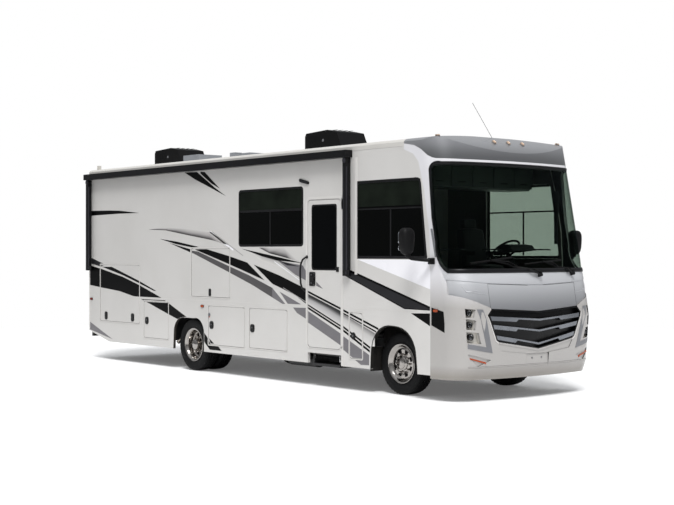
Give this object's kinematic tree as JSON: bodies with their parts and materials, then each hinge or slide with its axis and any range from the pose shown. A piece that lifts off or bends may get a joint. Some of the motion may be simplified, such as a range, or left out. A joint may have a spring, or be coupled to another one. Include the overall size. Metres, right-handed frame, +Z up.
{
  "type": "motorhome",
  "caption": "Coach-built motorhome: boxy hollow body with raked wrap windshield, hinged entry and locker doors, slide-out room, steering front wheels and twin rear wheels.",
  "frame": {"origin": "on the ground under the middle of the vehicle's length and width", "axes": "+X forward, +Y to the road side (driver), +Z up"},
  "size_m": [9.693, 3.44, 3.9507],
  "materials": {
    "painted_fibreglass": "gloss gel coat",
    "silver_paint": "metallic paint",
    "black_plastic": "moulded",
    "grey_plastic": "moulded",
    "roof_membrane": "rubber membrane",
    "clear_glass": "tinted",
    "dark_glass": "dark tinted",
    "lamp_lens": "clear lens",
    "red_lens": "moulded lens",
    "chassis_paint": "black chassis paint",
    "steel": "bare and galvanised",
    "cast_iron": "rough",
    "tyre": "moulded rubber",
    "chrome": "polished wheel",
    "seat_leather": "upholstery",
    "cab_trim": "soft-touch",
    "cabinet_wood": "laminated",
    "floor_board": "laminated",
    "locker_liner": "moulded liner"
  },
  "bodies": {
    "coach": {"curb_wall": "painted_fibreglass", "road_wall": "painted_fibreglass", "rear_wall": "painted_fibreglass", "roof": "roof_membrane", "curb_skirt": "painted_fibreglass", "road_skirt": "painted_fibreglass", "coach_floor": "floor_board", "stairwell": "cab_trim", "lockers": "locker_liner", "step_housing": "chassis_paint", "side_windows": "dark_glass", "windshield": "clear_glass", "front_cap": "painted_fibreglass", "grille": "black_plastic", "headlamps": "lamp_lens", "tail_lamps": "red_lens", "dashboard": "cab_trim", "cab_seats": "seat_leather", "overhead_cabinet": "cabinet_wood", "chassis_rails": "chassis_paint", "crossmembers": "chassis_paint", "tow_hitch": "chassis_paint", "engine": "cast_iron", "front_axle": "chassis_paint", "rear_axle": "chassis_paint", "leaf_springs": "chassis_paint", "exhaust": "steel", "underfloor_tanks": "black_plastic", "roof_air_conditioners": "black_plastic", "roof_vents": "grey_plastic", "radio_antenna": "steel", "awning": "black_plastic", "mirrors": "black_plastic", "rear_bumper": "chassis_paint"},
    "entry_door": {"entry_door": "painted_fibreglass", "entry_door_glass": "dark_glass"},
    "entry_step": {"entry_step": "chassis_paint"},
    "hood": {"hood": "silver_paint"},
    "slide_out": {"slide_out_room": "painted_fibreglass", "slide_out_window": "dark_glass"},
    "steering_wheel": {"steering_wheel": "cab_trim"},
    "curb_locker_door_1": {"curb_locker_door_1": "painted_fibreglass"},
    "curb_locker_door_2": {"curb_locker_door_2": "painted_fibreglass"},
    "curb_locker_door_3": {"curb_locker_door_3": "painted_fibreglass"},
    "curb_locker_door_4": {"curb_locker_door_4": "painted_fibreglass"},
    "curb_locker_door_5": {"curb_locker_door_5": "painted_fibreglass"},
    "fuel_door": {"fuel_door": "painted_fibreglass"},
    "road_locker_door_1": {"road_locker_door_1": "painted_fibreglass"},
    "road_locker_door_2": {"road_locker_door_2": "painted_fibreglass"},
    "road_locker_door_3": {"road_locker_door_3": "painted_fibreglass"},
    "steering_knuckle_left": {"steering_knuckle_left": "cast_iron"},
    "front_wheel_left": {"front_tyre_left": "tyre", "front_rim_left": "chrome"},
    "rear_wheels_left": {"rear_tyres_left": "tyre", "rear_rims_left": "chrome"},
    "steering_knuckle_right": {"steering_knuckle_right": "cast_iron"},
    "front_wheel_right": {"front_tyre_right": "tyre", "front_rim_right": "chrome"},
    "rear_wheels_right": {"rear_tyres_right": "tyre", "rear_rims_right": "chrome"}
  },
  "joints": [
    {"name": "curb_locker_door_1_hinge", "type": "hinge", "parent": "coach", "child": "curb_locker_door_1", "pos_m": [-3.7585, -1.2825, 1.6835], "axis": [-1, 0, 0], "range_deg": [0, 90]},
    {"name": "curb_locker_door_2_hinge", "type": "hinge", "parent": "coach", "child": "curb_locker_door_2", "pos_m": [-2.543, -1.2825, 1.0775], "axis": [-1, 0, 0], "range_deg": [0, 90]},
    {"name": "curb_locker_door_3_hinge", "type": "hinge", "parent": "coach", "child": "curb_locker_door_3", "pos_m": [-0.9145, -1.2825, 1.9635], "axis": [-1, 0, 0], "range_deg": [0, 90]},
    {"name": "curb_locker_door_4_hinge", "type": "hinge", "parent": "coach", "child": "curb_locker_door_4", "pos_m": [-0.4705, -1.2825, 1.0575], "axis": [-1, 0, 0], "range_deg": [0, 90]},
    {"name": "curb_locker_door_5_hinge", "type": "hinge", "parent": "coach", "child": "curb_locker_door_5", "pos_m": [0.6255, -1.2825, 1.0575], "axis": [-1, 0, 0], "range_deg": [0, 90]},
    {"name": "fuel_door_hinge", "type": "hinge", "parent": "coach", "child": "fuel_door", "pos_m": [2.6615, -1.2825, 1.0735], "axis": [-1, 0, 0], "range_deg": [0, 90]},
    {"name": "road_locker_door_1_hinge", "type": "hinge", "parent": "coach", "child": "road_locker_door_1", "pos_m": [-3.7585, 1.2825, 1.0575], "axis": [1, 0, 0], "range_deg": [0, 90]},
    {"name": "road_locker_door_2_hinge", "type": "hinge", "parent": "coach", "child": "road_locker_door_2", "pos_m": [-0.305, 1.2825, 1.0575], "axis": [1, 0, 0], "range_deg": [0, 90]},
    {"name": "road_locker_door_3_hinge", "type": "hinge", "parent": "coach", "child": "road_locker_door_3", "pos_m": [1.145, 1.2825, 1.0575], "axis": [1, 0, 0], "range_deg": [0, 90]},
    {"name": "entry_door_hinge", "type": "hinge", "parent": "coach", "child": "entry_door", "pos_m": [2.3385, -1.2825, 1.6], "axis": [0, 0, 1], "range_deg": [0, 95]},
    {"name": "entry_step_slide", "type": "slide", "parent": "coach", "child": "entry_step", "axis": [0, -1, 0], "range_m": [0, 0.26]},
    {"name": "hood_hinge", "type": "hinge", "parent": "coach", "child": "hood", "pos_m": [4.77, 0, 1.4778], "axis": [0, -1, 0], "range_deg": [0, 60]},
    {"name": "slide_out_slide", "type": "slide", "parent": "coach", "child": "slide_out", "axis": [0, 1, 0], "range_m": [0, 0.62]},
    {"name": "steer_left", "type": "hinge", "parent": "coach", "child": "steering_knuckle_left", "pos_m": [3.345, 0.79, 0.419], "axis": [0, 0, 1], "range_deg": [-35, 35]},
    {"name": "front_wheel_left_spin", "type": "hinge", "parent": "steering_knuckle_left", "child": "front_wheel_left", "pos_m": [3.345, 0.959, 0.419], "axis": [0, 1, 0], "continuous": true},
    {"name": "rear_wheels_left_spin", "type": "hinge", "parent": "coach", "child": "rear_wheels_left", "pos_m": [-1.481, 1, 0.419], "axis": [0, 1, 0], "continuous": true},
    {"name": "steer_right", "type": "hinge", "parent": "coach", "child": "steering_knuckle_right", "pos_m": [3.345, -0.79, 0.419], "axis": [0, 0, 1], "range_deg": [-35, 35]},
    {"name": "front_wheel_right_spin", "type": "hinge", "parent": "steering_knuckle_right", "child": "front_wheel_right", "pos_m": [3.345, -0.959, 0.419], "axis": [0, 1, 0], "continuous": true},
    {"name": "rear_wheels_right_spin", "type": "hinge", "parent": "coach", "child": "rear_wheels_right", "pos_m": [-1.481, -1, 0.419], "axis": [0, 1, 0], "continuous": true},
    {"name": "steering_wheel_turn", "type": "hinge", "parent": "coach", "child": "steering_wheel", "pos_m": [3.675, 0.59, 1.935], "axis": [-0.6157, 0, 0.788], "range_deg": [-560, 560]}
  ],
  "couplings": [
    {"joint": "steer_right", "follows": "steer_left", "ratio": 1},
    {"joint": "steering_wheel_turn", "follows": "steer_left", "ratio": 16}
  ]
}
